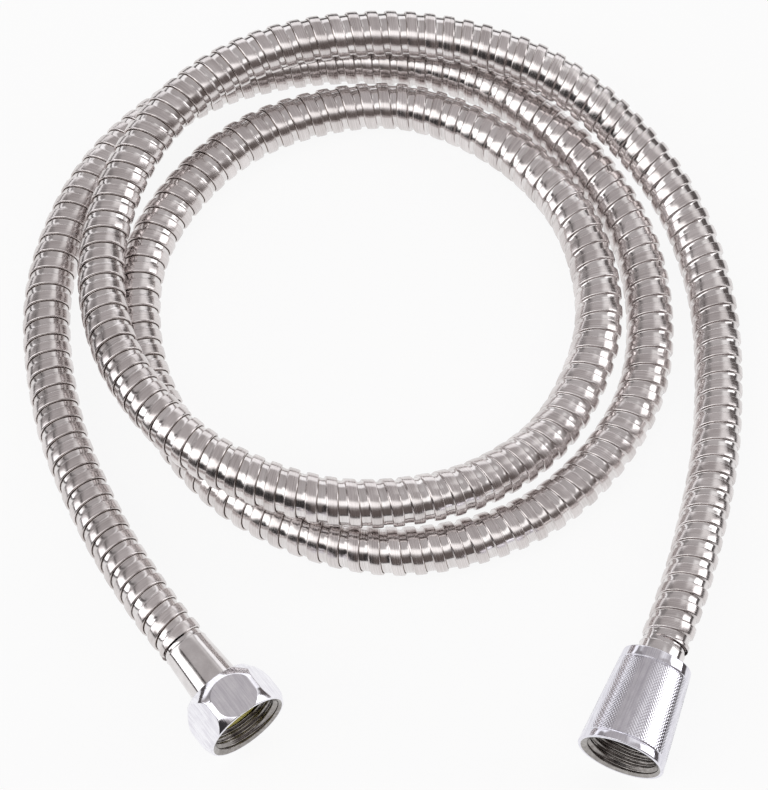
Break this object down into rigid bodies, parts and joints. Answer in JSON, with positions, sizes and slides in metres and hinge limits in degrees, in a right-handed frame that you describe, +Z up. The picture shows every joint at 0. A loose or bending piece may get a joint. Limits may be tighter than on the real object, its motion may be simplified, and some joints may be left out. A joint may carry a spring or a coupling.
{
  "type": "shower hose",
  "caption": "Chromed metal shower hose with a strip-wound casing lying in loose loops, with a hexagon swivel nut on one end and a knurled conical swivel nut on the other",
  "frame": {"origin": "the middle of the whole lying hose's box, on the surface that it lies on", "axes": "+Z up from the surface, +Y away from the two nuts across the loops, +X to the right as the hexagon nut lies left of the conical nut"},
  "size_m": [0.2114, 0.241, 0.0288],
  "materials": {
    "casing_metal": "bright nickel-plated strip",
    "nut_chrome": "polished chrome plate",
    "sleeve_chrome": "bright drawn chrome plate",
    "tail_brass": "turned brass",
    "ferrule_metal": "plain crimped",
    "washer_fibre": "olive fibre sheet",
    "washer_rubber": "matte black",
    "slip_plastic": "natural acetal",
    "liner_rubber": "matte dark grey"
  },
  "bodies": {
    "hose": {"hose_casing": "casing_metal", "inner_liner": "liner_rubber", "hex_washer": "washer_fibre", "hex_tail": "tail_brass", "hex_slip_ring": "slip_plastic", "hex_sleeve": "sleeve_chrome", "hex_ferrule": "ferrule_metal", "cone_washer": "washer_rubber", "cone_tail": "tail_brass", "cone_slip_ring": "slip_plastic", "cone_sleeve": "sleeve_chrome", "cone_ferrule": "ferrule_metal"},
    "hex_nut": {"hex_nut": "nut_chrome"},
    "cone_nut": {"cone_nut": "nut_chrome"}
  },
  "joints": [
    {"name": "hex_nut_spin", "type": "hinge", "parent": "hose", "child": "hex_nut", "pos_m": [-0.03674, -0.10694, 0.012], "axis": [0.6018, -0.7986, 0], "continuous": true},
    {"name": "cone_nut_spin", "type": "hinge", "parent": "hose", "child": "cone_nut", "pos_m": [0.06556, -0.11604, 0.01248], "axis": [-0.3712, -0.9282, -0.0262], "continuous": true}
  ]
}
